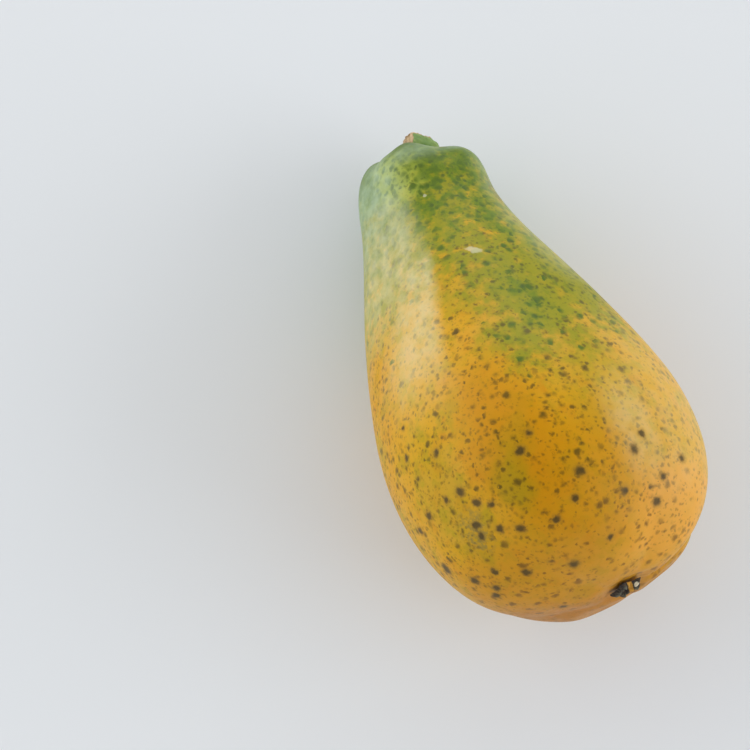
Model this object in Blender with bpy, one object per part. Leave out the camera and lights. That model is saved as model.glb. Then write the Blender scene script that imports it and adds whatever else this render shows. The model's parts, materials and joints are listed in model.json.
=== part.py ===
"""A whole ripe papaya lying on its side.

The fruit grows as one piece, so its skin and flesh are one solid. Its core line
bows a little, it has five soft lobes, a shallow basin that holds the cut stalk
and a small pit that holds the dry remains of the flower. Units are metres, +Z
is up, and the blossom end points to +X.

A place on the fruit is given by its station, the distance along the core from
the stalk end, and by its angle round the core, from the side that lies on top
towards the fruit's right, as seen with the stalk end up.
"""

import math

import bmesh
import bpy
import numpy as np
from mathutils import Matrix, Vector

MM = 0.001

# The skin
LOBES = 5
RIDGE_ANGLE = math.radians(-11)
LOBE_TWIST = math.radians(8)  # how far the lobes wind round over the belly
TWIST_START = 100 * MM
FRUIT_SIDES = 70
FINE_STEP = 2.2 * MM  # ring spacing at the basin and the pit
COARSE_STEP = 8.0 * MM  # ring spacing along the belly
FINE_REACH = 26 * MM  # how far the fine rings run from either end, along the skin
COARSE_REACH = 56 * MM  # where the coarse rings start, along the skin
CREASE_WIDTH = math.radians(8)
CREASE_SIDE = math.radians(100)  # the side where the creases are deepest
SHALLOW_CREASE = 0.12  # their share of that depth on the other side
UNEVEN = 0.8 * MM  # slow swellings that keep the skin from being a turned shape
WIDE_ANGLE = math.radians(10)  # where the stalk end is a little wider
WIDE_TWIST = math.radians(200)  # how far that place moves round by the blossom end

# The skin's outline, from the basin floor over the shoulder and belly to the pit floor, in mm:
# station, radius, height of the lobes, depth of the creases between them
SKIN_OUTLINE = (
    (5.4, 0.0, 0.0, 0.0),
    (5.4, 9.3, 0.0, 0.0),
    (4.3, 11.0, 0.3, 0.0),
    (1.6, 12.6, 0.9, 0.2),
    (1.2, 14.6, 1.2, 0.4),
    (3.2, 19.0, 1.3, 0.4),
    (7.6, 22.0, 1.2, 0.2),
    (15.0, 23.9, 0.9, 0.0),
    (25.0, 25.0, 0.7, 0.0),
    (41.0, 29.2, 0.7, 0.0),
    (63.0, 36.9, 0.6, 0.0),
    (85.0, 43.7, 0.6, 0.0),
    (107.0, 49.8, 0.4, 0.0),
    (125.0, 51.9, 0.4, 0.0),
    (141.0, 50.0, 0.5, 0.6),
    (153.8, 45.3, 0.6, 2.0),
    (164.2, 37.4, 0.6, 3.8),
    (171.3, 27.0, 0.6, 4.2),
    (174.9, 17.0, 0.5, 3.2),
    (176.0, 11.2, 0.2, 1.4),
    (175.8, 8.6, 0.0, 0.3),
    (175.3, 7.2, 0.0, 0.0),
    (175.3, 0.0, 0.0, 0.0),
)
BASIN_FLOOR = SKIN_OUTLINE[0][0] * MM
PIT_FLOOR = SKIN_OUTLINE[-1][0] * MM

# How far the core line is turned to the fruit's right and up: station in mm, degrees, degrees
CORE_TURNS = (
    (0.0, -23.5, 0.0),
    (18.0, -11.0, 0.0),
    (53.0, -3.0, 0.0),
    (103.0, -0.5, 0.0),
    (143.0, 8.5, 0.0),
    (160.0, 7.0, 0.0),
    (176.0, 2.0, 1.5),
)

# The stalk, from its foot in the basin to its slanted cut: mm above the foot, radius
STALK_SIDES = 30
STALK_OUTLINE = (
    (0.0, 7.4),
    (1.8, 8.3),
    (4.4, 8.1),
    (7.4, 7.0),
    (10.2, 6.0),
    (12.6, 5.3),
)
STALK_RIB = 0.35 * MM
STALK_ASIDE = 1.3 * MM  # how far the stalk stands off the core, to the fruit's left
CUT_SLANT = math.radians(30)
CUT_SIDE = math.radians(-118)  # the side that the cut faces
CUT_HOLLOW = 0.9 * MM

# The dry remains of the flower, a crust of five arms
REMAINS_SIDES = 50
REMAINS_RINGS = 6
REMAINS_REACH = 6.4 * MM
REMAINS_WAIST = 3.4 * MM
REMAINS_EDGE = 1.0 * MM
REMAINS_PEAK = 2.8 * MM
REMAINS_HOLLOW = 1.4 * MM

# How the fruit lies, and the gap between pieces that touch
REST_PITCH = math.radians(14.15)  # the blossom end is the higher one
REST_ROLL = math.radians(6)
REST_SINK = 1.4 * MM  # the depth that the flat spot takes off the round belly
CLEARANCE = 0.3 * MM


def clear_scene():
    for thing in list(bpy.data.objects):
        bpy.data.objects.remove(thing, do_unlink=True)


def principled(name, colour, roughness):
    """A Principled material with a colour in linear numbers."""
    material = bpy.data.materials.new(name)
    material.use_nodes = True
    shader = material.node_tree.nodes["Principled BSDF"]
    shader.inputs["Base Color"].default_value = (*colour, 1.0)
    shader.inputs["Roughness"].default_value = roughness
    shader.inputs["Metallic"].default_value = 0.0
    return material


def smooth_curve(rows, steps):
    """A centripetal Catmull-Rom curve through the rows, with so many steps to each stretch."""
    rows = np.array(rows, float)
    rows = np.vstack([2 * rows[0] - rows[1], rows, 2 * rows[-1] - rows[-2]])
    gaps = np.sqrt(np.linalg.norm(np.diff(rows, axis=0), axis=1))
    points = []
    for i in range(1, len(rows) - 2):
        before, start, end, after = rows[i - 1 : i + 3]
        gap_before, gap, gap_after = gaps[i - 1 : i + 2]
        slope = (end - start) / gap
        leaving = slope + (start - before) / gap_before - (end - before) / (gap_before + gap)
        arriving = slope + (after - end) / gap_after - (after - start) / (gap + gap_after)
        for t in np.arange(steps) / steps:
            place = start * (2 * t**3 - 3 * t**2 + 1) + end * (3 * t**2 - 2 * t**3)
            pull = leaving * (t**3 - 2 * t**2 + t) + arriving * (t**3 - t**2)
            points.append(place + pull * gap)
    return np.array([*points, rows[-2]])


def ease(value):
    """0 below 0, 1 above 1, and a smooth rise between."""
    value = np.clip(value, 0, 1)
    return value * value * (3 - 2 * value)


def skin_rings():
    """Rows of station, radius, lobe height, crease depth and the outline's outward normal."""
    outline = smooth_curve(SKIN_OUTLINE, 24) * MM
    steps = np.diff(outline[:, :2], axis=0)
    travelled = np.concatenate([[0], np.cumsum(np.linalg.norm(steps, axis=1))])
    from_end = np.minimum(travelled, travelled[-1] - travelled)
    spacing = FINE_STEP + (COARSE_STEP - FINE_STEP) * ease(
        (from_end - FINE_REACH) / (COARSE_REACH - FINE_REACH)
    )
    count = np.concatenate([[0], np.cumsum(np.diff(travelled) / spacing[1:])])
    wanted = np.linspace(0, count[-1], round(count[-1]) + 1)
    rings = np.column_stack([np.interp(wanted, count, column) for column in outline.T])
    heading = np.gradient(rings[:, :2], axis=0)
    heading /= np.linalg.norm(heading, axis=1)[:, None]
    return np.column_stack([rings, -heading[:, 1], heading[:, 0]])


class Core:
    """The bowed line that the fruit grows round, in its own frame of along, right and up."""

    def __init__(self):
        turns = smooth_curve(CORE_TURNS, 30)
        self.station = turns[:, 0] * MM
        to_right, to_up = np.radians(turns[:, 1:]).T
        self.heading = np.column_stack(
            [np.cos(to_right) * np.cos(to_up), np.sin(to_right) * np.cos(to_up), np.sin(to_up)]
        )
        middle = (self.heading[1:] + self.heading[:-1]) / 2
        steps = middle * np.diff(self.station)[:, None]
        self.place = np.vstack([np.zeros(3), np.cumsum(steps, axis=0)])

    def at(self, station):
        """The point on the core at this station, and the ways along, right and up there."""
        place = [np.interp(station, self.station, column) for column in self.place.T]
        along = Vector([np.interp(station, self.station, column) for column in self.heading.T])
        along.normalize()
        right = Vector((-along.y, along.x, 0)).normalized()
        return Vector(place), along, right, along.cross(right)

    def point(self, station, radius, angle):
        place, _, right, up = self.at(station)
        return place + right * (radius * math.sin(angle)) + up * (radius * math.cos(angle))

    def end_frame(self, station, outward):
        """A frame on the core: X up, Z along the core (outward 1) or back (outward -1)."""
        place, along, _, up = self.at(station)
        out = along * outward
        frame = Matrix((up, out.cross(up), out)).transposed().to_4x4()
        frame.translation = place
        return frame


def lobe_wave(angle):
    return math.cos(LOBES * (angle - RIDGE_ANGLE))


def crease_wave(angle):
    """1 on the line between two lobes, and 0 away from it."""
    spread = 2 * math.pi / LOBES
    off = (angle - RIDGE_ANGLE) % spread - spread / 2
    share = ((1 + math.cos(angle - CREASE_SIDE)) / 2) ** 6
    return math.exp(-((off / CREASE_WIDTH) ** 2)) * (SHALLOW_CREASE + (1 - SHALLOW_CREASE) * share)


def swelling(station, radius, angle):
    """Slow unevenness, which fades where the skin nears the core."""
    length = SKIN_OUTLINE[-1][0] * MM
    share = station / length
    wide = WIDE_ANGLE + WIDE_TWIST * share
    wave = math.cos(2 * (angle - wide)) + 0.9 * math.sin(3 * angle - 1.2 + 5.3 * share)
    return UNEVEN * wave * ease((radius - 12 * MM) / (12 * MM))


def close_rings(form, rings):
    """Faces between rings of points. A ring of one point is a pole."""
    loops = [[form.verts.new(point) for point in ring] for ring in rings]
    for lower, upper in zip(loops, loops[1:]):
        sides = max(len(lower), len(upper))
        for i in range(sides):
            after = (i + 1) % sides
            corners = [lower[0]] if len(lower) == 1 else [lower[i], lower[after]]
            corners += [upper[0]] if len(upper) == 1 else [upper[after], upper[i]]
            form.faces.new(corners)
    bmesh.ops.recalc_face_normals(form, faces=form.faces)


def mesh_object(name, rings, material, frame):
    form = bmesh.new()
    close_rings(form, rings)
    mesh = bpy.data.meshes.new(name)
    form.to_mesh(mesh)
    form.free()
    mesh.shade_smooth()
    mesh.materials.append(material)
    piece = bpy.data.objects.new(name, mesh)
    piece.matrix_world = frame
    bpy.context.scene.collection.objects.link(piece)
    return piece


def skin_ring(core, row):
    station, radius, lobe, crease, along_out, radius_out = row
    if radius < 1e-6:
        return [core.point(station, 0.0, 0.0)]
    twist = LOBE_TWIST * ease((station - TWIST_START) / (PIT_FLOOR - TWIST_START))
    ring = []
    for i in range(FRUIT_SIDES):
        angle = RIDGE_ANGLE + 2 * math.pi * i / FRUIT_SIDES
        rise = lobe * lobe_wave(angle - twist) - crease * crease_wave(angle - twist)
        rise += swelling(station, radius, angle)
        ring.append(core.point(station + rise * along_out, radius + rise * radius_out, angle))
    return ring


def lay_down():
    """The turn that lays the fruit on its belly."""
    return Matrix.Rotation(-REST_PITCH, 4, "Y") @ Matrix.Rotation(REST_ROLL, 4, "X")


def flatten_rest(mesh, frame):
    """Lowers the fruit onto the floor and flattens what would pass through it. Returns the move."""
    low = min((frame @ vertex.co).z for vertex in mesh.vertices)
    lowered = Matrix.Translation((0, 0, -low - REST_SINK)) @ frame
    mesh.transform(lowered)
    for vertex in mesh.vertices:
        vertex.co.z = max(vertex.co.z, 0.0)
    return lowered


def make_fruit(core):
    skin = principled("papaya_skin", (0.66, 0.34, 0.035), 0.45)
    rings = [skin_ring(core, row) for row in skin_rings()]
    fruit = mesh_object("fruit", rings, skin, Matrix())
    lying = flatten_rest(fruit.data, lay_down())
    return fruit, lying


def make_stalk(core, lying):
    bark = principled("cut_stalk", (0.17, 0.19, 0.06), 0.7)
    outline = smooth_curve(STALK_OUTLINE, 3) * MM
    top = outline[-1][0]
    rings = [[Vector((0, 0, 0))]]
    for height, radius in outline:
        ring = []
        for i in range(STALK_SIDES):
            angle = 2 * math.pi * i / STALK_SIDES
            reach = radius + STALK_RIB * lobe_wave(angle)
            slope = -math.tan(CUT_SLANT) * math.cos(angle - CUT_SIDE) * reach
            lift = height + slope * (height / top) ** 3
            ring.append(Vector((reach * math.cos(angle), reach * math.sin(angle), lift)))
        rings.append(ring)
    rings.append([Vector((0, 0, top - CUT_HOLLOW))])
    frame = lying @ core.end_frame(BASIN_FLOOR - CLEARANCE, -1) @ Matrix.Translation((0, -STALK_ASIDE, 0))
    return mesh_object("stalk", rings, bark, frame)


def make_remains(core, lying):
    husk = principled("dry_flower_remains", (0.045, 0.032, 0.02), 0.85)
    edge = [Vector((0, 0, 0))]
    rings = [edge]
    for ring_number in range(-1, REMAINS_RINGS):
        share = 1.0 - max(ring_number, 0) / REMAINS_RINGS
        ring = []
        for i in range(REMAINS_SIDES):
            angle = 2 * math.pi * i / REMAINS_SIDES
            arm = (0.5 + 0.5 * lobe_wave(-angle)) ** 1.4
            reach = (REMAINS_WAIST + (REMAINS_REACH - REMAINS_WAIST) * arm) * share
            crown = math.sin(math.pi * min(1.0, 1.35 * (1 - share)))
            height = REMAINS_EDGE + (REMAINS_PEAK - REMAINS_EDGE) * crown * (0.55 + 0.45 * arm)
            if ring_number < 0:
                height = 0.0
            ring.append(Vector((reach * math.cos(angle), reach * math.sin(angle), height)))
        rings.append(ring)
    rings.append([Vector((0, 0, REMAINS_HOLLOW))])
    frame = lying @ core.end_frame(PIT_FLOOR + CLEARANCE, 1)
    return mesh_object("blossom_remains", rings, husk, frame)


def centre_on_floor(fruit, pieces):
    """Moves everything sideways until the middle of the whole part's box is over the origin."""
    corners = [
        piece.matrix_world @ vertex.co for piece in (fruit, *pieces) for vertex in piece.data.vertices
    ]
    middle = [
        (min(corner[axis] for corner in corners) + max(corner[axis] for corner in corners)) / 2
        for axis in (0, 1)
    ]
    move = Matrix.Translation((-middle[0], -middle[1], 0))
    fruit.data.transform(move)
    for piece in pieces:
        piece.matrix_world = move @ piece.matrix_world
        piece.parent = fruit


def main():
    clear_scene()
    core = Core()
    fruit, lying = make_fruit(core)
    stalk = make_stalk(core, lying)
    remains = make_remains(core, lying)
    centre_on_floor(fruit, (stalk, remains))


main()
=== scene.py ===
import json
import math

import bmesh
import bpy
from mathutils import Euler, Matrix, Vector, noise

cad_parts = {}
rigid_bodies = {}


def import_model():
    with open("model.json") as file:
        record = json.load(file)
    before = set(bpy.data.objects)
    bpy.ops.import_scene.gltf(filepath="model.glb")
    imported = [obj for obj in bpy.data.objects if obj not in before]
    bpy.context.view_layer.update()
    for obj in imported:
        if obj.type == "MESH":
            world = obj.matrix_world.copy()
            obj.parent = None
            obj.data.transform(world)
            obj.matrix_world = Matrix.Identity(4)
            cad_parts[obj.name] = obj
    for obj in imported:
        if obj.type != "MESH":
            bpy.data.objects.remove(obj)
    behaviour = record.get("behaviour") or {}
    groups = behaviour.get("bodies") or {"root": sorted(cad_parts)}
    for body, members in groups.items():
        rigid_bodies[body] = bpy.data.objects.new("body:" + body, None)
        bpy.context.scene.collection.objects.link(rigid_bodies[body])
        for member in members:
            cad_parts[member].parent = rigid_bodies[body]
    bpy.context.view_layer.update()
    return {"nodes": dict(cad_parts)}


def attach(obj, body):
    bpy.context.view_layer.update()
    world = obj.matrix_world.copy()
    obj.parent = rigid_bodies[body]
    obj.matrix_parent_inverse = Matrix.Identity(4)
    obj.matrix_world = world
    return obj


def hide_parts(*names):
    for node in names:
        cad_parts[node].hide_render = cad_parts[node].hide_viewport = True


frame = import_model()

MM = 0.001

# The fruit's own frame: x along it from the stalk end, y to its right, z up, in mm
FRUIT_START = Vector((-82.17, 9.64, 21.3)) * MM
FRUIT_TURN = (math.radians(6.0), math.radians(-14.15), 0.0)
LYING = Matrix.Translation(FRUIT_START) @ Euler(FRUIT_TURN).to_matrix().to_4x4()

# The stalk's foot in the basin, and the way that it points
STALK_FOOT = Vector((4.3, -3.1, 0.0)) * MM
STALK_YAW = math.radians(160.4)

# The flower's remains in the pit, and the way that they face
REMAINS_FOOT = Vector((174.16, -3.96, 0.16)) * MM
REMAINS_YAW = math.radians(2.1)
REMAINS_LIFT = math.radians(1.5)

# Tips what is made standing up, so that it points along the fruit
TIPPED = Matrix(((0, 0, 1, 0), (0, -1, 0, 0), (1, 0, 0, 0), (0, 0, 0, 1)))


def linear(hex_colour):
    """An sRGB hex colour as linear red, green, blue and alpha."""
    parts = [int(hex_colour[i : i + 2], 16) / 255 for i in (1, 3, 5)]
    return (*(p / 12.92 if p <= 0.04045 else ((p + 0.055) / 1.055) ** 2.4 for p in parts), 1.0)


def add(tree, kind, sockets=None, out=0, **settings):
    """Adds a node with its settings and links, and gives one of its outputs.

    Sockets go by name or by number. A Map Range has its value as 0, the range that it
    comes from as 1 and 2, and the range that it goes to as 3 and 4. A colour Mix has its
    share as 0 and its two colours as 6 and 7.
    """
    made = tree.nodes.new(kind)
    for name, value in settings.items():
        setattr(made, name, value)
    for key, value in (sockets or {}).items():
        if isinstance(value, bpy.types.NodeSocket):
            tree.links.new(value, made.inputs[key])
        else:
            made.inputs[key].default_value = value
    return made.outputs[out]


def new_material(name):
    """A new material, with its node tree and its shader."""
    material = bpy.data.materials.new(name)
    material.use_nodes = True
    tree = material.node_tree
    return material, tree, tree.nodes["Principled BSDF"]


def only(piece):
    """Leaves one piece selected and active."""
    bpy.ops.object.select_all(action="DESELECT")
    piece.select_set(True)
    bpy.context.view_layer.objects.active = piece


def round_off(piece, levels):
    """Rounds off the active piece by subdivision."""
    rounded = piece.modifiers.new("rounded", "SUBSURF")
    rounded.levels = levels
    rounded.render_levels = levels
    bpy.ops.object.modifier_apply(modifier=rounded.name)


def own_place(tree):
    """Object coordinates turned into the fruit's own frame, in mm."""
    coordinates = add(tree, "ShaderNodeTexCoord", out="Object")
    return add(
        tree,
        "ShaderNodeMapping",
        {0: coordinates, 1: FRUIT_START, 2: FRUIT_TURN, 3: (MM, MM, MM)},
        vector_type="TEXTURE",
    )


def shaken(tree, place, ripple, reach):
    """Places moved to and fro by ripples of a size, both in mm, so that no edge is ruled."""
    waves = add(
        tree,
        "ShaderNodeTexNoise",
        {"Vector": place, "Scale": 1 / ripple, "Detail": 3.0, "Roughness": 0.6},
        out="Color",
    )
    aside = add(tree, "ShaderNodeVectorMath", {0: waves, 1: (0.5, 0.5, 0.5)}, operation="SUBTRACT")
    return add(
        tree,
        "ShaderNodeVectorMath",
        {0: aside, 1: (2 * reach,) * 3, 2: place},
        operation="MULTIPLY_ADD",
    )


def laid_over(tree, below, above, where, start=0.0, end=1.0, most=1.0):
    """One colour laid over another, where a value goes from start to end."""
    share = add(
        tree,
        "ShaderNodeMapRange",
        {0: where, 1: start, 2: end, 3: 0.0, 4: most},
        interpolation_type="SMOOTHSTEP",
    )
    return add(tree, "ShaderNodeMix", {0: share, 6: below, 7: above}, out=2, data_type="RGBA")


def patch(tree, place, centre, reach, turn=(0, 0, 0), soft=0.45, most=1.0):
    """A value that is highest inside an oval patch and 0 outside it. Its sizes are in mm."""
    oval = add(
        tree,
        "ShaderNodeMapping",
        {0: place, 1: centre, 2: [math.radians(a) for a in turn], 3: reach},
        vector_type="TEXTURE",
    )
    far = add(tree, "ShaderNodeVectorMath", {0: oval}, out="Value", operation="LENGTH")
    return add(
        tree,
        "ShaderNodeMapRange",
        {0: far, 1: 1 + soft, 2: 1 - soft, 3: 0.0, 4: most},
        interpolation_type="SMOOTHSTEP",
    )


def band(tree, value, from_low, from_high, to_high, to_low, most=1.0):
    """A value that rises over one stretch, stays, and falls over another."""
    rise = add(
        tree,
        "ShaderNodeMapRange",
        {0: value, 1: from_low, 2: from_high, 3: 0.0, 4: most},
        interpolation_type="SMOOTHSTEP",
    )
    fall = add(
        tree,
        "ShaderNodeMapRange",
        {0: value, 1: to_high, 2: to_low, 3: 1.0, 4: 0.0},
        interpolation_type="SMOOTHSTEP",
    )
    return add(tree, "ShaderNodeMath", {0: rise, 1: fall}, operation="MULTIPLY")


def flecks(tree, place, spacing, size, seed, crowd=1.0, weakest=0.5):
    """Dark flecks of uneven size and depth. Spacing and size are in mm, and crowd is how many show."""
    moved = add(tree, "ShaderNodeVectorMath", {0: place, 1: (seed, 2 * seed, 3 * seed)}, operation="ADD")
    distance = add(
        tree,
        "ShaderNodeTexVoronoi",
        {"Vector": moved, "Scale": 1 / spacing, "Randomness": 1.0},
        out="Distance",
        feature="F1",
    )
    chance = add(tree, "ShaderNodeSeparateColor", {0: distance.node.outputs["Color"]}).node.outputs
    radius = size / 2 / spacing
    reach = add(tree, "ShaderNodeMapRange", {0: chance[0], 1: 0.0, 2: 1.0, 3: 0.45 * radius, 4: radius})
    inside = add(tree, "ShaderNodeMath", {0: reach, 1: distance}, operation="SUBTRACT")
    shape = add(
        tree,
        "ShaderNodeMapRange",
        {0: inside, 1: -0.65 * radius, 2: 0.65 * radius},
        interpolation_type="SMOOTHSTEP",
    )
    depth = add(tree, "ShaderNodeMapRange", {0: chance[2], 1: 0.0, 2: 1.0, 3: weakest, 4: 1.0})
    there = add(tree, "ShaderNodeMath", {0: chance[1], 1: crowd}, operation="LESS_THAN")
    drawn = add(tree, "ShaderNodeMath", {0: shape, 1: depth}, operation="MULTIPLY")
    return add(tree, "ShaderNodeMath", {0: drawn, 1: there}, operation="MULTIPLY")


# Skin spots that stand out, seen from above: place in the fruit's own frame and size, in mm
LARGE_SPOTS = (
    (136, -17, 52, 3.2), (132, -12, 53, 2.6), (149, -3, 48, 3.6), (155, -8, 45, 2.6),
    (147, 15, 39, 3.6), (143, 20, 38, 2.4), (156, 20, 30, 2.6), (162, 15, 28, 3.4),
    (158, 7, 39, 3.2), (152, 29, 26, 2.8), (158, 15, 32, 2.0), (136, -39, 42, 3.4),
    (135, -44, 38, 2.6), (142, -36, 43, 2.8), (145, -32, 44, 2.6), (134, -51, 29, 3.4),
    (152, -33, 40, 3.0), (155, -27, 41, 3.4), (158, -16, 43, 2.8), (167, -3, 32, 2.6),
    (169, -17, 28, 4.0), (164, -31, 27, 3.4), (166, -23, 31, 2.2), (159, -40, 26, 2.6),
    (148, -54, 15, 4.0), (157, -47, 19, 3.4), (162, -42, 19, 3.2), (163, -43, 15, 2.8),
    (105, -47, 34, 2.0), (121, -41, 43, 3.0), (114, -50, 32, 2.6), (123, -50, 34, 2.4),
    (134, -56, 20, 2.8), (173, -25, 5, 3.0), (147, -39, 38, 3.0), (150, -39, 36, 2.8),
)

# Skin colours, from green to ripe
DEEP_GREEN = linear("#4C6412")
LEAF_GREEN = linear("#667A08")
LIME_GREEN = linear("#918C08")
PALE_LIME = linear("#B4BC50")
OLIVE = linear("#AA9408")
TURNING = linear("#B0940C")
RIPE_YELLOW = linear("#D09B08")
RIPE_GOLD = linear("#D29D2A")
# Painted light: a paler orange for the brighter lower right
PAINTED_LIGHT_ORANGE = linear("#E6A03C")
RIPE_ORANGE = linear("#C88402")
DEEP_ORANGE = linear("#D47E0A")
RIPE_BROWN = linear("#BE7C1C")
# Painted shade where the flower end curves under
UNDERSIDE_SHADE = linear("#A0560A")

# What lies on the skin: wax with a painted sheen over it, plain, greenish on green skin and golden on ripe,
# and dried latex
WAX_AND_SHEEN = linear("#E2D6A6")
GREENISH_WAX_AND_SHEEN = linear("#BED2B4")
GOLDEN_WAX_AND_SHEEN = linear("#E8CE90")
DRIED_LATEX = linear("#D2CEAC")

# Pores on ripe skin, on green skin and at the flower end, and the large corky spots with their soft edges
RIPE_PORE = linear("#5E4A10")
GREEN_PORE = linear("#445818")
BROWN_PORE = linear("#8A5A1C")
CORKY_SPOT = linear("#4E3F1E")
SPOT_EDGE = linear("#8F6A26")

# How wide the skin's unevenness is, from the finest to the broadest, in mm
PIT = 0.9
FINE_GRAIN = 2.2
BLOTCH = 4.2
MOTTLE = 5.5
STAIN = 9
CLOUD = 21

# How far apart the pores are and how wide, in mm, and the same for the green dabs of the neck
TINY_PORES = (1.3, 1.05)
SMALL_PORES = (2.2, 1.75)
WIDE_PORES = (3.8, 2.7)
GREEN_DABS = (2.8, 3.4)

# Oval patches of ripe skin: colour, centre and reach in the fruit's own frame in mm, softness and strength.
# They are the belly's orange, the flower end, painted light on the lower right, painted shade on the
# underside, and lime left on the belly
RIPE_PATCHES = (
    (RIPE_ORANGE, (130, -19, 50), (28, 14, 18), 0.6, 0.65),
    (RIPE_ORANGE, (88, -48, 22), (26, 8, 14), 0.6, 0.2),
    (RIPE_ORANGE, (150, -2, 42), (22, 20, 24), 0.6, 0.5),
    (RIPE_BROWN, (170, -30, 16), (22, 34, 28), 0.6, 0.5),
    # Painted light on the lower right
    (PAINTED_LIGHT_ORANGE, (164, 20, 20), (18, 20, 18), 0.6, 0.75),
    # Painted shade on the underside of the flower end
    (UNDERSIDE_SHADE, (174, -18, -24), (20, 44, 30), 0.7, 0.6),
    (LIME_GREEN, (136, -44, 36), (22, 8, 12), 0.7, 0.25),
    (LIME_GREEN, (144, -23, 49), (9, 7, 12), 0.7, 0.5),
    (LIME_GREEN, (132, -17, 52), (7, 6, 9), 0.7, 0.25),
    (LIME_GREEN, (124, 15, 42), (18, 14, 14), 0.7, 0.2),
)

# Oval patches that are still green: centre and reach in mm, turn in degrees, and how green.
# They run from the neck down the right, with one on the neck's left
GREEN_PATCHES = (
    ((82, 7, 42), (19, 6, 16), (0, -5, 12), 0.62),
    ((78, 9, 38), (30, 14, 18), (0, -5, 12), 0.42),
    ((58, 20, 24), (42, 14, 16), (0, 0, 8), 0.5),
    ((68, 0, 38), (28, 14, 14), (0, -5, 12), 0.28),
    ((100, -1, 47), (12, 9, 14), (0, -5, 12), 0.34),
    ((40, 9, 25), (12, 7, 9), (0, 0, 0), 0.66),
    ((48, 14, 26), (14, 7, 9), (0, 0, 0), 0.62),
    ((40, -30, 14), (26, 14, 16), (0, 0, 0), 0.5),
)

# Stretches with a bloom of wax and a painted sheen: what their degrees are counted from, the degrees, the
# places along the fruit in mm, and how strong. They are the left shoulder and facet, and the right of the
# belly and neck
WAX_AND_SHEEN_STRETCHES = (
    ("ridge", (-100, -55, -22, 6), (-12, 12, 42, 84), 0.43),
    ("ridge", (-54, -16, -7, 1.5), (34, 58, 78, 118), 0.44),
    ("top", (32, 58, 120, 150), (80, 124, 146, 174), 0.22),
    ("top", (34, 66, 120, 150), (-4, 5, 62, 84), 0.22),
)

# Where the skin was rubbed, on the lower left, on the right of the neck, and by the stalk: colour, centre
# and reach in mm, and how strong
RUBBED_PLACES = (
    (linear("#6A683C"), (148, -40, 36), (8, 5, 7), 0.6),
    (linear("#8A5A3A"), (30, 18, 12), (7, 3, 5), 0.4),
    (linear("#7A5A34"), (6, 8, 17), (2.5, 2, 3), 0.6),
)


def ways_round(tree, near):
    """The way round the bowed fruit in degrees, from its top to its right, and from its front ridge."""
    plain = add(tree, "ShaderNodeSeparateXYZ", {0: near})
    # The neck is bowed 10 mm to one side, and the ridge leans over as the fruit widens
    bow = add(
        tree,
        "ShaderNodeMapRange",
        {0: plain, 1: 0.0, 2: 50.0, 3: 0.0, 4: 10.0},
        interpolation_type="SMOOTHSTEP",
    )
    aside = add(tree, "ShaderNodeMath", {0: plain.node.outputs[1], 1: bow}, operation="ADD")
    turned = add(tree, "ShaderNodeMath", {0: aside, 1: plain.node.outputs[2]}, operation="ARCTAN2")
    from_top = add(tree, "ShaderNodeMath", {0: turned, 1: 180 / math.pi}, operation="MULTIPLY")
    lean = add(
        tree,
        "ShaderNodeMapRange",
        {0: plain, 1: 25.0, 2: 102.0, 3: 0.0, 4: 16.0},
        interpolation_type="SMOOTHSTEP",
    )
    flare = add(
        tree,
        "ShaderNodeMapRange",
        {0: plain, 1: 8.0, 2: 48.0, 3: 20.0, 4: 0.0},
        interpolation_type="SMOOTHSTEP",
    )
    lean = add(tree, "ShaderNodeMath", {0: lean, 1: flare}, operation="ADD")
    from_ridge = add(tree, "ShaderNodeMath", {0: from_top, 1: lean}, operation="ADD")
    return {"top": from_top, "ridge": from_ridge}


def ripe_colours(tree, place, drifted, near, mottle, blotch):
    """Ripe skin: yellow, orange down the middle of the belly, browner at the flower end."""
    cloud = add(
        tree,
        "ShaderNodeTexNoise",
        {"Vector": place, "Scale": 1 / CLOUD, "Detail": 3.0, "Roughness": 0.55},
    )
    stain = add(
        tree,
        "ShaderNodeTexNoise",
        {"Vector": near, "Scale": 1 / STAIN, "Detail": 4.0, "Roughness": 0.65},
    )
    ripe = laid_over(tree, RIPE_YELLOW, RIPE_GOLD, cloud, 0.42, 0.62, 0.7)
    ripe = laid_over(tree, ripe, RIPE_ORANGE, mottle, 0.5, 0.72, 0.55)
    ripe = laid_over(tree, ripe, LIME_GREEN, blotch, 0.5, 0.72, 0.3)
    ripe = laid_over(tree, ripe, OLIVE, stain, 0.5, 0.66, 0.6)
    ripe = laid_over(tree, ripe, DEEP_ORANGE, stain, 0.46, 0.32, 0.15)
    for colour, centre, reach, soft, most in RIPE_PATCHES:
        ripe = laid_over(tree, ripe, colour, patch(tree, drifted, centre, reach, soft=soft), most=most)
    return ripe


def greenness(tree, drifted, along):
    """How green the skin still is: at the stalk end, and in a long patch on the right."""
    green = add(
        tree,
        "ShaderNodeMapRange",
        {0: along, 1: 84.0, 2: 14.0, 3: 0.0, 4: 0.72},
        interpolation_type="SMOOTHSTEP",
    )
    basin = add(tree, "ShaderNodeMapRange", {0: along, 1: 20.0, 2: 2.0, 3: 0.0, 4: 0.4})
    green = add(tree, "ShaderNodeMath", {0: green, 1: basin}, operation="ADD")
    for centre, reach, turn, most in GREEN_PATCHES:
        more = patch(tree, drifted, centre, reach, turn, 0.8, most)
        green = add(tree, "ShaderNodeMath", {0: green, 1: more}, operation="MAXIMUM")
    return green


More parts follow.
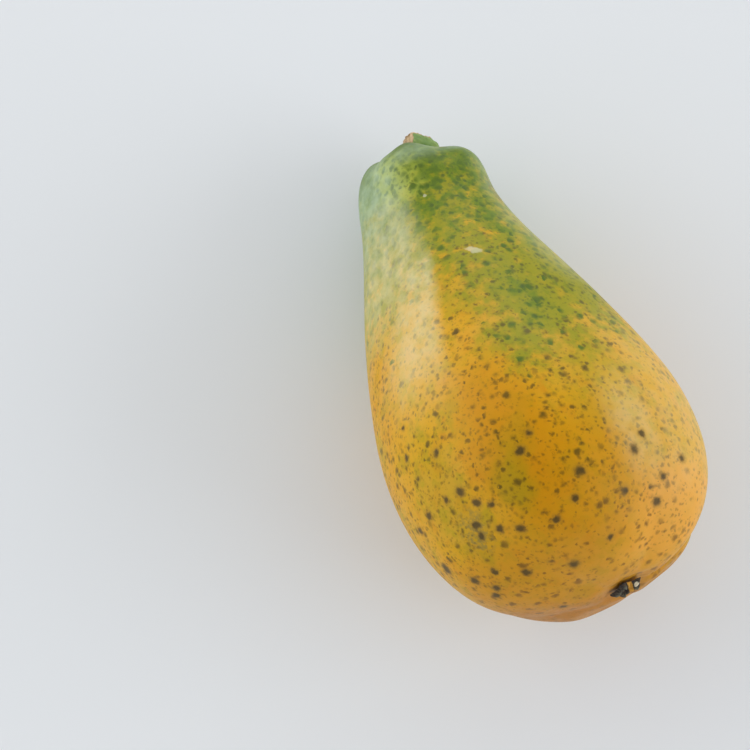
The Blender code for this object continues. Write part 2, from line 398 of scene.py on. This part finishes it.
def greened(tree, skin, green, drifted, near, along, blotch):
    """Skin with its green laid on: olive where it ends, broken up in the neck, and with dark dabs."""
    # It is broken up most where it is half green and in the neck, and not at all where it is ripe
    broken = add(tree, "ShaderNodeMapRange", {0: blotch, 1: 0.3, 2: 0.7, 3: -0.48, 4: 0.48})
    room = add(
        tree,
        "ShaderNodeMath",
        {0: band(tree, green, 0.05, 0.5, 0.8, 1.2), 1: band(tree, along, -20, -10, 40, 76)},
        operation="MULTIPLY",
    )
    room = add(tree, "ShaderNodeMapRange", {0: room, 1: 0.0, 2: 1.0, 3: 0.4, 4: 1.0})
    tinged = add(tree, "ShaderNodeMapRange", {0: green, 1: 0.02, 2: 0.2})
    room = add(tree, "ShaderNodeMath", {0: room, 1: tinged}, operation="MULTIPLY")
    mixed = add(tree, "ShaderNodeMath", {0: broken, 1: room, 2: green}, operation="MULTIPLY_ADD")
    skin = laid_over(tree, skin, TURNING, green, 0.0, 0.4, 0.6)
    skin = laid_over(tree, skin, LIME_GREEN, mixed, 0.0, 0.36)
    skin = laid_over(tree, skin, LEAF_GREEN, mixed, 0.4, 0.85)
    skin = laid_over(tree, skin, DEEP_GREEN, mixed, 0.8, 1.2, 0.8)
    below_rim = patch(tree, drifted, (14, -12, 20), (12, 9, 9), soft=0.7)
    skin = laid_over(tree, skin, PALE_LIME, below_rim, most=0.6)
    crowd = add(tree, "ShaderNodeMath", {0: green, 1: 0.95}, operation="MULTIPLY")
    return laid_over(tree, skin, DEEP_GREEN, flecks(tree, near, *GREEN_DABS, 12, crowd))


def wax_and_sheen_amount(tree, near, along, mottle):
    """How much pale waxy coating and painted sheen there is: on the waxy stretches, a painted highlight on
    a lobe and a painted sheen round the basin, unevenly worn.
    """
    # A painted highlight along a lobe of the belly, and a painted sheen round the basin's rim
    lobe = patch(tree, near, (140, 20, 39), (18, 8, 10), soft=0.7, most=0.3)
    plain = add(tree, "ShaderNodeSeparateXYZ", {0: near})
    rim = band(tree, plain, 1, 5, 7, 13, 0.26)
    wax_and_sheen = add(tree, "ShaderNodeMath", {0: lobe, 1: rim}, operation="MAXIMUM")
    ways = ways_round(tree, near)
    # Pale wax on the stretches, with a painted sheen on them
    for counted_from, degrees, places, most in WAX_AND_SHEEN_STRETCHES:
        stretch = add(
            tree,
            "ShaderNodeMath",
            {0: band(tree, ways[counted_from], *degrees), 1: band(tree, along, *places, most)},
            operation="MULTIPLY",
        )
        wax_and_sheen = add(tree, "ShaderNodeMath", {0: wax_and_sheen, 1: stretch}, operation="MAXIMUM")
    worn = add(tree, "ShaderNodeMapRange", {0: mottle, 1: 0.36, 2: 0.62, 3: 0.7, 4: 1.3})
    return add(tree, "ShaderNodeMath", {0: wax_and_sheen, 1: worn}, operation="MULTIPLY")


def pored(tree, skin, green, wax_and_sheen, near, along, mottle):
    """Skin with pores all over: tiny ones, small ones and a few wide ones, fainter at the flower end."""
    pore = laid_over(tree, RIPE_PORE, GREEN_PORE, green, 0.15, 0.6)
    pore = laid_over(tree, pore, BROWN_PORE, along, 140.0, 176.0, 0.7)
    crowd = add(tree, "ShaderNodeMapRange", {0: mottle, 1: 0.36, 2: 0.54, 3: 0.4, 4: 0.9})
    clear = add(tree, "ShaderNodeMapRange", {0: wax_and_sheen, 1: 0.1, 2: 0.4, 3: 1.0, 4: 0.8})
    crowd = add(tree, "ShaderNodeMath", {0: crowd, 1: clear}, operation="MULTIPLY")
    smooth = add(tree, "ShaderNodeMapRange", {0: along, 1: 150.0, 2: 176.0, 3: 1.0, 4: 0.45})
    crowd = add(tree, "ShaderNodeMath", {0: crowd, 1: smooth}, operation="MULTIPLY")
    belly = add(
        tree,
        "ShaderNodeMapRange",
        {0: along, 1: 50.0, 2: 110.0, 3: 0.1, 4: 0.7},
        interpolation_type="SMOOTHSTEP",
    )
    skin = laid_over(tree, skin, pore, flecks(tree, near, *TINY_PORES, 0, crowd, 0.4), most=0.6)
    skin = laid_over(tree, skin, pore, flecks(tree, near, *SMALL_PORES, 31, crowd, 0.35), most=0.85)
    return laid_over(tree, skin, pore, flecks(tree, near, *WIDE_PORES, 57, belly), most=0.9)


def rubbed(tree, skin, near, fine):
    """Skin with its rubbed, brownish places."""
    scuffed = add(tree, "ShaderNodeMapRange", {0: fine, 1: 0.4, 2: 0.6})
    for colour, centre, reach, most in RUBBED_PLACES:
        place = patch(tree, near, centre, reach, soft=0.6)
        place = add(tree, "ShaderNodeMath", {0: place, 1: scuffed}, operation="MULTIPLY")
        skin = laid_over(tree, skin, colour, place, most=most)
    return skin


def spotted(tree, skin, near):
    """Skin with its large corky spots, each with a soft brown edge."""
    spot = None
    for x, y, z, size in LARGE_SPOTS:
        gap = add(tree, "ShaderNodeVectorMath", {0: near, 1: (x, y, z)}, out="Value", operation="DISTANCE")
        gap = add(tree, "ShaderNodeMath", {0: gap, 1: size / 2}, operation="DIVIDE")
        spot = gap if spot is None else add(tree, "ShaderNodeMath", {0: spot, 1: gap}, operation="MINIMUM")
    skin = laid_over(tree, skin, SPOT_EDGE, spot, 1.9, 0.7, 0.45)
    return laid_over(tree, skin, CORKY_SPOT, spot, 1.25, 0.45, 0.9)


def dried_latex(tree, near):
    """Where milky latex ran out and dried: a short run on the neck, and a drop nearer the stalk."""
    run = patch(tree, near, (58, 0, 34), (3.0, 1.3, 3.0), (0, 0, 52), 0.35)
    drop = patch(tree, near, (27, -6, 26), (0.7, 0.7, 2.0), soft=0.35)
    return add(tree, "ShaderNodeMath", {0: run, 1: drop}, operation="MAXIMUM")


def papaya_skin():
    """Ripe papaya skin: thin, waxy and matt, grown and not finished by hand.

    It turns from green to orange as it ripens, last at the stalk end, and is
    flecked with corky pores and brown spots.
    """
    material, tree, shader = new_material("papaya_skin")
    place = own_place(tree)
    drifted = shaken(tree, place, 16, 9)
    near = shaken(tree, place, 2.6, 1.2)
    along = add(tree, "ShaderNodeSeparateXYZ", {0: drifted})
    fine = add(
        tree,
        "ShaderNodeTexNoise",
        {"Vector": place, "Scale": 1 / FINE_GRAIN, "Detail": 3.0, "Roughness": 0.6},
    )
    blotch = add(
        tree,
        "ShaderNodeTexNoise",
        {"Vector": near, "Scale": 1 / BLOTCH, "Detail": 3.0, "Roughness": 0.55},
    )
    mottle = add(
        tree,
        "ShaderNodeTexNoise",
        {"Vector": place, "Scale": 1 / MOTTLE, "Detail": 4.0, "Roughness": 0.62},
    )

    green = greenness(tree, drifted, along)
    wax_and_sheen = wax_and_sheen_amount(tree, near, along, mottle)
    skin = ripe_colours(tree, place, drifted, near, mottle, blotch)
    skin = greened(tree, skin, green, drifted, near, along, blotch)
    skin = pored(tree, skin, green, wax_and_sheen, near, along, mottle)

    # The wax and its painted sheen lie over the pores, and the marks of handling over them
    wax_and_sheen_colour = laid_over(tree, WAX_AND_SHEEN, GREENISH_WAX_AND_SHEEN, green, 0.4, 0.9)
    wax_and_sheen_colour = laid_over(tree, wax_and_sheen_colour, GOLDEN_WAX_AND_SHEEN, along, 66, 104, 0.9)
    skin = add(tree, "ShaderNodeMix", {0: wax_and_sheen, 6: skin, 7: wax_and_sheen_colour}, out=2, data_type="RGBA")
    skin = rubbed(tree, skin, near, fine)
    skin = spotted(tree, skin, near)
    skin = laid_over(tree, skin, DRIED_LATEX, dried_latex(tree, near), most=0.55)

    tree.links.new(skin, shader.inputs["Base Color"])
    gloss = add(tree, "ShaderNodeMapRange", {0: fine, 1: 0.3, 2: 0.7, 3: 0.36, 4: 0.5})
    tree.links.new(gloss, shader.inputs["Roughness"])
    shader.inputs["IOR"].default_value = 1.45
    shader.inputs["Specular IOR Level"].default_value = 0.16
    shader.inputs["Coat Weight"].default_value = 0.04
    shader.inputs["Coat Roughness"].default_value = 0.3
    shader.inputs["Subsurface Weight"].default_value = 0.05
    shader.inputs["Subsurface Radius"].default_value = (1.0, 0.5, 0.15)
    shader.inputs["Subsurface Scale"].default_value = 0.002

    # Finely pitted wax
    grain = add(tree, "ShaderNodeTexNoise", {"Vector": place, "Scale": 1 / PIT, "Detail": 2.0})
    bump = add(tree, "ShaderNodeBump", {"Strength": 0.35, "Distance": 0.05 * MM, "Height": grain})
    tree.links.new(bump, shader.inputs["Normal"])
    return material


# Where the skin is touched up, at the basin's rim, on the right side and beside the flower's remains:
# a place, how far it moves, and how far around, in mm
SKIN_TOUCHES = (
    (Vector((2, -9, 19)), Vector((1.3, 0, 0)), 7.0),
    (Vector((3, -15, 16)), Vector((-1.1, 0, 0)), 7.0),
    (Vector((90, 34, 8)), Vector((0, 1.0, 0)), 40.0),
    (Vector((148, 44, 8)), Vector((0.3, 0.8, 0)), 36.0),
    (Vector((174, -13, -21)), Vector((-2.4, 0, 0)), 13.0),
    (Vector((173.5, 6, -13)), Vector((-2.2, 0, 0)), 8.0),
    (Vector((166, 20, -16)), Vector((0.8, 1.6, 0)), 18.0),
)


# How near two corners of the solid count as one, and how far from flat two triangles still make a face
SAME_PLACE = 0.02 * MM
NEARLY_FLAT = math.radians(60)


def make_skin():
    """The fruit's skin: a copy of its solid, merged, then rounded off by subdivision."""
    node = frame["nodes"]["fruit"]
    only(node)
    bpy.ops.object.duplicate()
    skin = bpy.context.object
    skin.name = "papaya_skin"
    skin.data.name = "papaya_skin"
    bpy.ops.object.parent_clear(type="CLEAR_KEEP_TRANSFORM")
    # The copy gives up what the frame has noted on its node
    for key in list(skin.keys()):
        del skin[key]
    bpy.ops.object.mode_set(mode="EDIT")
    bpy.ops.mesh.select_all(action="SELECT")
    bpy.ops.mesh.remove_doubles(threshold=SAME_PLACE)
    bpy.ops.mesh.tris_convert_to_quads(face_threshold=NEARLY_FLAT, shape_threshold=NEARLY_FLAT)
    for place, shift, around in SKIN_TOUCHES:
        bpy.ops.mesh.select_all(action="DESELECT")
        form = bmesh.from_edit_mesh(skin.data)
        spot = LYING @ (place * MM)
        nearest = min(form.verts, key=lambda vertex: (vertex.co - spot).length)
        nearest.select_set(True)
        bmesh.update_edit_mesh(skin.data)
        bpy.ops.transform.translate(
            value=LYING.to_3x3() @ (shift * MM),
            use_proportional_edit=True,
            proportional_edit_falloff="SMOOTH",
            proportional_size=around * MM,
        )
    bpy.ops.object.mode_set(mode="OBJECT")
    round_off(skin, 2)
    bpy.ops.object.shade_smooth()
    skin.data.materials.clear()
    skin.data.materials.append(papaya_skin())
    return skin


# How long and how thick the stalk's fibres are, in mm
FIBRE = (6.0, 0.7, 0.7)


def stalk_bark():
    """Papaya stalk: green, fibrous and ribbed, cut with a knife, so the cut is dry and tan."""
    material, tree, shader = new_material("stalk_bark")
    place = own_place(tree)
    slow = add(tree, "ShaderNodeTexNoise", {"Vector": place, "Scale": 1 / 5, "Detail": 4.0})
    fibres = add(
        tree,
        "ShaderNodeMapping",
        {0: place, 2: (0, 0, math.pi - STALK_YAW), 3: FIBRE},
        vector_type="TEXTURE",
    )
    streaks = add(tree, "ShaderNodeTexNoise", {"Vector": fibres, "Scale": 1.0, "Detail": 3.0})
    bark = laid_over(tree, linear("#5E7F35"), linear("#82994C"), slow, 0.35, 0.65)
    bark = laid_over(tree, bark, linear("#48602C"), streaks, 0.5, 0.7, 0.45)
    cut = add(tree, "ShaderNodeAttribute", out="Fac", attribute_name="cut")
    pith = laid_over(tree, linear("#C9AE84"), linear("#A88A62"), slow, 0.35, 0.65)
    colour = laid_over(tree, bark, linear("#A97F5E"), cut, 0.1, 0.3, 0.8)
    colour = laid_over(tree, colour, pith, cut, 0.3, 0.75)
    tree.links.new(colour, shader.inputs["Base Color"])
    shader.inputs["Roughness"].default_value = 0.62
    shader.inputs["IOR"].default_value = 1.45
    bump = add(tree, "ShaderNodeBump", {"Strength": 0.6, "Distance": 0.25 * MM, "Height": streaks})
    tree.links.new(bump, shader.inputs["Normal"])
    return material


# The stalk, in mm: its radius at its foot, then how much higher each section is, and its radius
STALK_FOOT_RADIUS = 7.3
STALK_SECTIONS = (
    (1.0, 8.0), (1.2, 8.2), (2.2, 8.4), (1.8, 8.5), (2.0, 8.5), (1.8, 8.2),
    (1.2, 7.6), (1.2, 6.6), (1.2, 5.5), (1.2, 4.8), (2.6, 4.5),
)
# The sunken cut: the width and depth of each step towards its middle, in mm
CUT_STEPS = ((0.4, 0.0), (0.4, -0.3), (0.7, -0.2), (0.8, 0.1))
# Where the knife went through the stalk, and which way each cut faces: across its end, and down its left
STALK_CUTS = (
    (Vector((0, 0, 15.2)), Vector((0, 0.28, 1)).normalized()),
    (Vector((0, -4.5, 16)), Vector((0.75, -1, 0.45)).normalized()),
)


def make_stalk():
    """The stalk: a ribbed, tapering stub with a hollow, fibrous cut."""
    bpy.ops.object.select_all(action="DESELECT")
    radius = STALK_FOOT_RADIUS
    bpy.ops.mesh.primitive_circle_add(vertices=60, radius=radius * MM, fill_type="NGON")
    stalk = bpy.context.object
    stalk.name = "stalk_stub"
    bpy.ops.object.mode_set(mode="EDIT")
    bpy.ops.mesh.select_all(action="SELECT")
    bpy.ops.mesh.select_mode(type="FACE")
    for rise, wider in STALK_SECTIONS:
        bpy.ops.mesh.extrude_region_move(TRANSFORM_OT_translate={"value": (0, 0, rise * MM)})
        bpy.ops.transform.resize(value=(wider / radius, wider / radius, 1))
        radius = wider
    for place, facing in STALK_CUTS:
        bpy.ops.mesh.select_all(action="SELECT")
        bpy.ops.mesh.bisect(plane_co=place * MM, plane_no=facing, clear_outer=True, use_fill=True)
    # The cuts are the only faces above the foot with many corners, and they sink in steps
    bpy.ops.mesh.select_all(action="DESELECT")
    form = bmesh.from_edit_mesh(stalk.data)
    bmesh.ops.recalc_face_normals(form, faces=form.faces)
    for face in form.faces:
        face.select_set(face.calc_center_median().z > 5 * MM and len(face.verts) > 8)
    bmesh.update_edit_mesh(stalk.data)
    for width, depth in CUT_STEPS:
        bpy.ops.mesh.inset(
            thickness=width * MM,
            depth=depth * MM,
            use_even_offset=False,
            use_individual=True,
        )
    bpy.ops.mesh.poke()
    bpy.ops.object.mode_set(mode="OBJECT")
    round_off(stalk, 2)
    mesh = stalk.data
    cut = mesh.attributes.new("cut", "FLOAT", "POINT")
    for vertex in mesh.vertices:
        spot = vertex.co / MM
        angle = math.atan2(spot.y, spot.x)
        reach = math.hypot(spot.x, spot.y)
        depth, facing = max(((spot - place).dot(facing), facing) for place, facing in STALK_CUTS)
        inside = max(0.0, min(1.0, (depth + 1.0) / 0.7))
        cut.data[vertex.index].value = inside
        # Five broad ribs, eleven thin ones that twist a little, fine grooves, and a slow unevenness
        rib = 0.22 * math.cos(5 * angle) + 0.08 * math.cos(23 * angle)
        rib += 0.12 * math.sin(11 * angle + 0.12 * spot.z)
        rough = noise.noise(spot * 0.45) * 0.5
        side = min(1.0, reach / 4.0)
        push = (rib + rough) * side * min(1.0, spot.z / 2.0)
        vertex.co += Vector((math.cos(angle), math.sin(angle), 0)) * push * MM
        vertex.co += facing * inside * (noise.noise(spot * 1.7) * 0.35 - 0.15) * MM
    bpy.ops.object.shade_smooth()
    mesh.transform(
        LYING
        @ Matrix.Translation(STALK_FOOT)
        @ Matrix.Rotation(STALK_YAW, 4, "Z")
        @ TIPPED
    )
    mesh.materials.append(stalk_bark())
    return stalk


def dry_flower():
    """Withered flower base: a dry, brown, papery crust, split and curled as it shrank."""
    material, tree, shader = new_material("dry_flower")
    place = own_place(tree)
    tone = add(
        tree,
        "ShaderNodeTexNoise",
        {"Vector": place, "Scale": 1 / TEAR, "Detail": 4.0, "Roughness": 0.65},
    )
    crest = add(tree, "ShaderNodeAttribute", out="Fac", attribute_name="crest")
    husk = laid_over(tree, linear("#1C1410"), linear("#584834"), tone, 0.4, 0.75)
    # Paler grey-olive on the crests: a painted highlight
    husk = laid_over(tree, husk, linear("#7E7C66"), crest, 0.6, 1.0, 0.55)
    across = add(tree, "ShaderNodeSeparateXYZ", {0: place}, out=1)
    husk = laid_over(tree, husk, linear("#C08A2C"), band(tree, across, -3.7, -3.2, -2.2, -1.7))
    cream_spot = patch(tree, place, (176, -0.5, 1.4), (3.0, 1.0, 1.6), soft=0.3)
    husk = laid_over(tree, husk, linear("#E6D8B8"), cream_spot)
    tree.links.new(husk, shader.inputs["Base Color"])
    shader.inputs["Roughness"].default_value = 0.85
    shader.inputs["IOR"].default_value = 1.45
    bump = add(tree, "ShaderNodeBump", {"Strength": 0.7, "Distance": 0.2 * MM, "Height": tone})
    tree.links.new(bump, shader.inputs["Normal"])
    return material


# The crust of the flower, in mm: its radius before it is shaped, its thickness, and the steps to its middle
CRUST_RADIUS = 5.6
CRUST_THICKNESS = 0.9
CRUST_STEPS = (0.3, 0.4, 0.5, 0.6, 0.7, 0.8, 0.8, 0.6)

# Its arms, how far they are turned, and how high a crest is in mm
ARMS = 5
ARMS_TURNED = math.radians(-11)
CREST_HEIGHT = 2.4

# How far apart its small tears and dark places are, in mm
TEAR = 1.2


def make_flower_remains():
    """The flower's remains: a five-armed crust with folded, curled edges."""
    bpy.ops.object.select_all(action="DESELECT")
    bpy.ops.mesh.primitive_circle_add(vertices=80, radius=CRUST_RADIUS * MM, fill_type="NGON")
    crust = bpy.context.object
    crust.name = "flower_remains"
    bpy.ops.object.mode_set(mode="EDIT")
    bpy.ops.mesh.select_all(action="SELECT")
    bpy.ops.mesh.select_mode(type="FACE")
    bpy.ops.mesh.extrude_region_move(TRANSFORM_OT_translate={"value": (0, 0, CRUST_THICKNESS * MM)})
    for width in CRUST_STEPS:
        bpy.ops.mesh.inset(thickness=width * MM)
    bpy.ops.mesh.poke()
    bpy.ops.object.mode_set(mode="OBJECT")
    round_off(crust, 1)
    mesh = crust.data
    crest = mesh.attributes.new("crest", "FLOAT", "POINT")
    # Each place goes out along an arm or in between two, and the ring inside the rim folds up
    for vertex in mesh.vertices:
        spot = vertex.co / MM
        angle = math.atan2(spot.y, spot.x)
        share = math.hypot(spot.x, spot.y) / CRUST_RADIUS
        arm = (0.5 + 0.5 * math.cos(ARMS * (angle + ARMS_TURNED))) ** 1.4
        wander = noise.noise(Vector((math.cos(angle), math.sin(angle), 0)) * 2.2)
        reach = (4.5 + 1.6 * arm + 0.5 * wander) * share
        folds = abs(math.sin(7.5 * angle + 2.0 * wander))
        height = 0.0
        if spot.z > 0.05:
            crown = math.sin(math.pi * min(1.0, 1.3 * (1 - share)))
            height = 0.7 + 1.75 * crown * (0.7 + 0.3 * arm) * (0.45 + 0.55 * folds)
            height += 0.25 * noise.noise(spot * 1.3)
        vertex.co = Vector((reach * math.cos(angle), reach * math.sin(angle), max(0.0, height))) * MM
        crest.data[vertex.index].value = height / CREST_HEIGHT
    bpy.ops.object.shade_smooth()
    mesh.transform(
        LYING
        @ Matrix.Translation(REMAINS_FOOT)
        @ Matrix.Rotation(REMAINS_YAW, 4, "Z")
        @ Matrix.Rotation(-REMAINS_LIFT, 4, "Y")
        @ TIPPED
    )
    mesh.materials.append(dry_flower())
    return crust


# A side of the table top, in m
TABLE_SIZE = 6.0


def make_table():
    """A plain pale table top, which is the whole background from above."""
    bpy.ops.object.select_all(action="DESELECT")
    bpy.ops.mesh.primitive_plane_add(size=TABLE_SIZE)
    table = bpy.context.object
    table.name = "table_top"
    # Matt paint, rolled on: pale and even, with hardly any shine
    material, _, shader = new_material("pale_table_paint")
    shader.inputs["Base Color"].default_value = linear("#ECEEF0")
    shader.inputs["Roughness"].default_value = 0.8
    shader.inputs["Specular IOR Level"].default_value = 0.2
    table.data.materials.append(material)


def soft_light(name, towards, distance, size, power, colour, aim):
    """A soft card of light, some way off towards one side, which faces what it is aimed at."""
    lamp = bpy.data.lights.new(name, "AREA")
    lamp.shape = "RECTANGLE"
    lamp.size, lamp.size_y = size
    lamp.energy = power
    lamp.color = linear(colour)[:3]
    light = bpy.data.objects.new(name, lamp)
    light.location = aim + towards.normalized() * distance
    light.rotation_euler = (aim - light.location).to_track_quat("-Z", "Y").to_euler()
    bpy.context.scene.collection.objects.link(light)


# The camera looks down on the lying fruit, as the photograph's does on its front
CAMERA_AZIMUTH = math.radians(66.458)
CAMERA_ELEVATION = math.radians(78.591)
CAMERA_PLACE = Vector((0.10318, -0.08975, 0.67106))
LENS_LENGTH = 90
SENSOR_WIDTH = 36


def make_camera():
    """The camera, level from side to side, at the photograph's viewing angle."""
    back = Vector(
        (
            math.sin(CAMERA_AZIMUTH) * math.cos(CAMERA_ELEVATION),
            -math.cos(CAMERA_AZIMUTH) * math.cos(CAMERA_ELEVATION),
            math.sin(CAMERA_ELEVATION),
        )
    )
    right = Vector((math.cos(CAMERA_AZIMUTH), math.sin(CAMERA_AZIMUTH), 0))
    up = back.cross(right)
    lens = bpy.data.cameras.new("camera")
    lens.lens = LENS_LENGTH
    lens.sensor_width = SENSOR_WIDTH
    lens.clip_start = 0.01
    lens.clip_end = 20
    camera = bpy.data.objects.new("camera", lens)
    facing = Matrix((right, up, back)).transposed().to_4x4()
    camera.matrix_world = Matrix.Translation(CAMERA_PLACE) @ facing
    bpy.context.scene.collection.objects.link(camera)
    bpy.context.scene.camera = camera


# The cards: which way each one is, how far off, its width and height, all in m, then its power and colour
CARDS = (
    ("left_card", Vector((-0.66, -0.72, 0.4)), 2.8, (2.6, 1.6), 20, "#FFFDF8"),
    ("right_card", Vector((0.5, 0.8, 0.4)), 2.8, (2.2, 1.6), 22, "#F8FAFF"),
    ("back_strip", Vector((-0.917, 0.4, 0.17)), 2.6, (1.8, 0.4), 10, "#FFFFFF"),
)

# How bright the room is low down and overhead, the way to its front, and how much darker it is there
ROOM_LOW = 1.68
ROOM_OVERHEAD = 0.34
ROOM_FRONT = (0.917, -0.4, 0)
FRONT_SHARE = 0.55


def make_lights():
    """Two big low cards at the sides and a strip behind, in a pale room, darker overhead and in front."""
    middle = Vector((0, 0, 45 * MM))
    for name, towards, distance, size, power, colour in CARDS:
        soft_light(name, towards, distance, size, power, colour, middle)
    world = bpy.data.worlds.new("studio")
    bpy.context.scene.world = world
    world.use_nodes = True
    tree = world.node_tree
    room = tree.nodes["Background"]
    direction = add(tree, "ShaderNodeTexCoord", out="Generated")
    height = add(tree, "ShaderNodeSeparateXYZ", {0: direction}, out=2)
    overhead = add(
        tree,
        "ShaderNodeMapRange",
        {0: height, 1: 0.25, 2: 0.92, 3: ROOM_LOW, 4: ROOM_OVERHEAD},
        interpolation_type="SMOOTHSTEP",
    )
    front = add(
        tree,
        "ShaderNodeVectorMath",
        {0: direction, 1: ROOM_FRONT},
        out="Value",
        operation="DOT_PRODUCT",
    )
    away = add(
        tree,
        "ShaderNodeMapRange",
        {0: front, 1: 0.45, 2: 0.95, 3: 1.0, 4: FRONT_SHARE},
        interpolation_type="SMOOTHSTEP",
    )
    strength = add(tree, "ShaderNodeMath", {0: overhead, 1: away}, operation="MULTIPLY")
    room.inputs["Color"].default_value = linear("#F3F6F9")
    tree.links.new(strength, room.inputs["Strength"])


skin = make_skin()
stalk = make_stalk()
remains = make_flower_remains()
for piece, node, slot in (
    (skin, "fruit", "skin"),
    (stalk, "stalk", "stalk"),
    (remains, "blossom_remains", "flower_remains"),
):
    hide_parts(node)
    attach(piece, "root")

make_table()
make_camera()
make_lights()
bpy.context.scene.view_settings.view_transform = "Standard"

bpy.ops.object.select_all(action="DESELECT")
bpy.context.view_layer.update()
